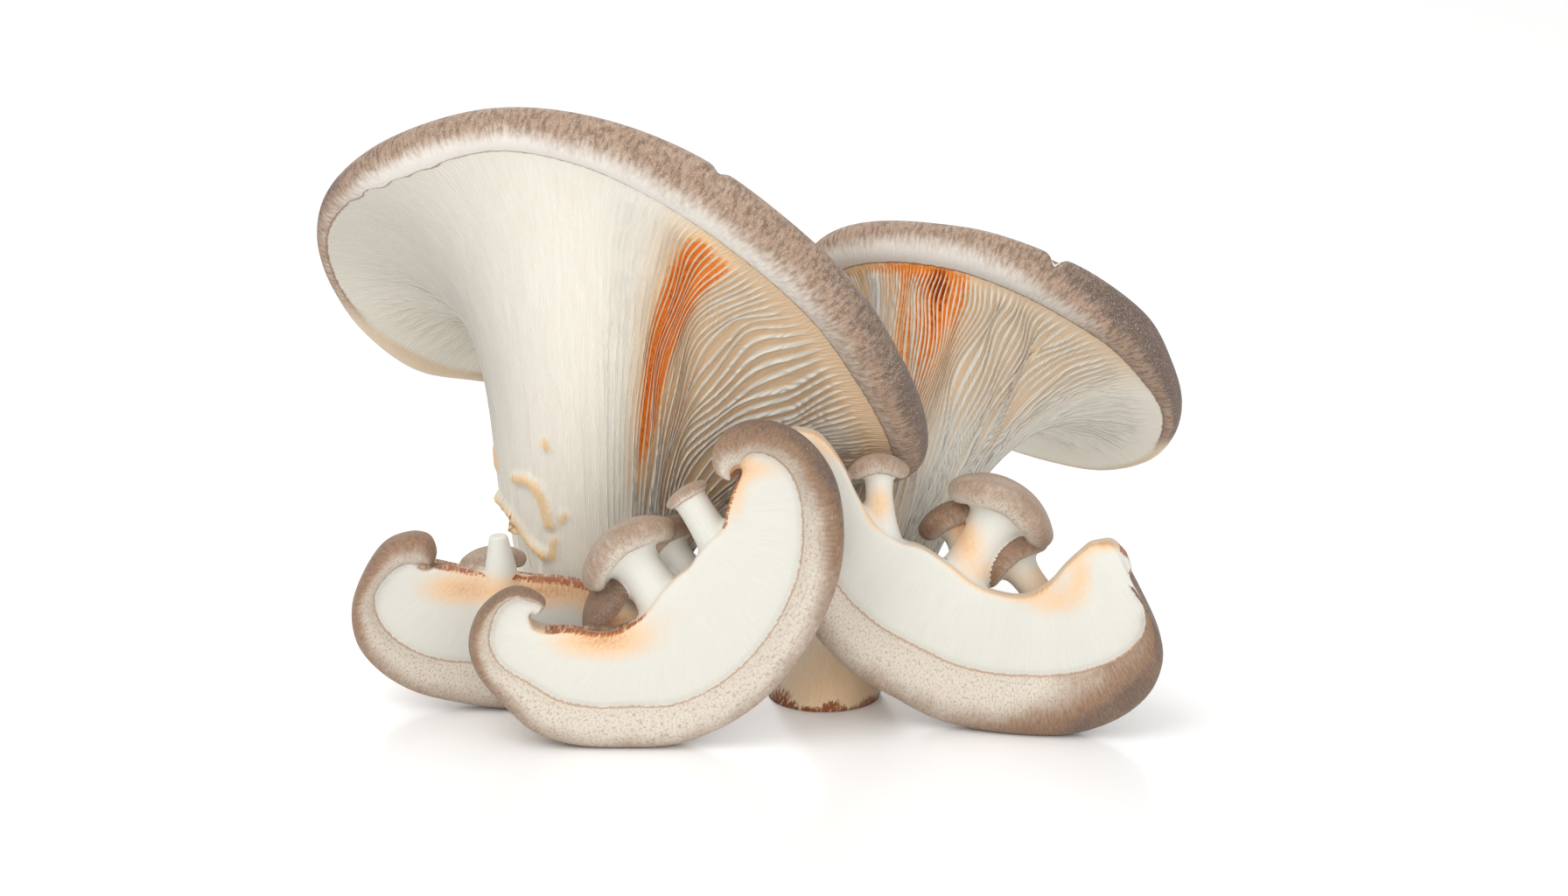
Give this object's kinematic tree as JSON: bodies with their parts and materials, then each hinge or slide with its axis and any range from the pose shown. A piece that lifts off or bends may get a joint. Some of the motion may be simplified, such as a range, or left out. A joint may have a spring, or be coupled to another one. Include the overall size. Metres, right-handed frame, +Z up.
{
  "type": "oyster mushroom cluster",
  "caption": "Oyster mushroom cluster: tall gilled mushrooms with rolled grey-brown rims behind cut pieces with in-rolled rims and small side mushrooms.",
  "frame": {"origin": "centre of the cluster's box, on the surface that it stands on", "axes": "+Z up, -Y towards the gills and the cut faces, +X to the right seen from there"},
  "size_m": [0.1833, 0.1039, 0.1299],
  "materials": {
    "gilled_flesh": "cream gills and stem, soft matt, with a velvety grey-brown skin on the cap's rolled rim and top",
    "velvet_skin": "velvety grey-brown skin that fades to pale below, round cut cream-white flesh with a fine fibre"
  },
  "bodies": {
    "root": {"large_mushroom_left": "gilled_flesh", "large_mushroom_right": "gilled_flesh", "cut_mushroom_front": "velvet_skin", "cut_mushroom_left": "velvet_skin", "cut_mushroom_right": "velvet_skin"}
  },
  "joints": []
}
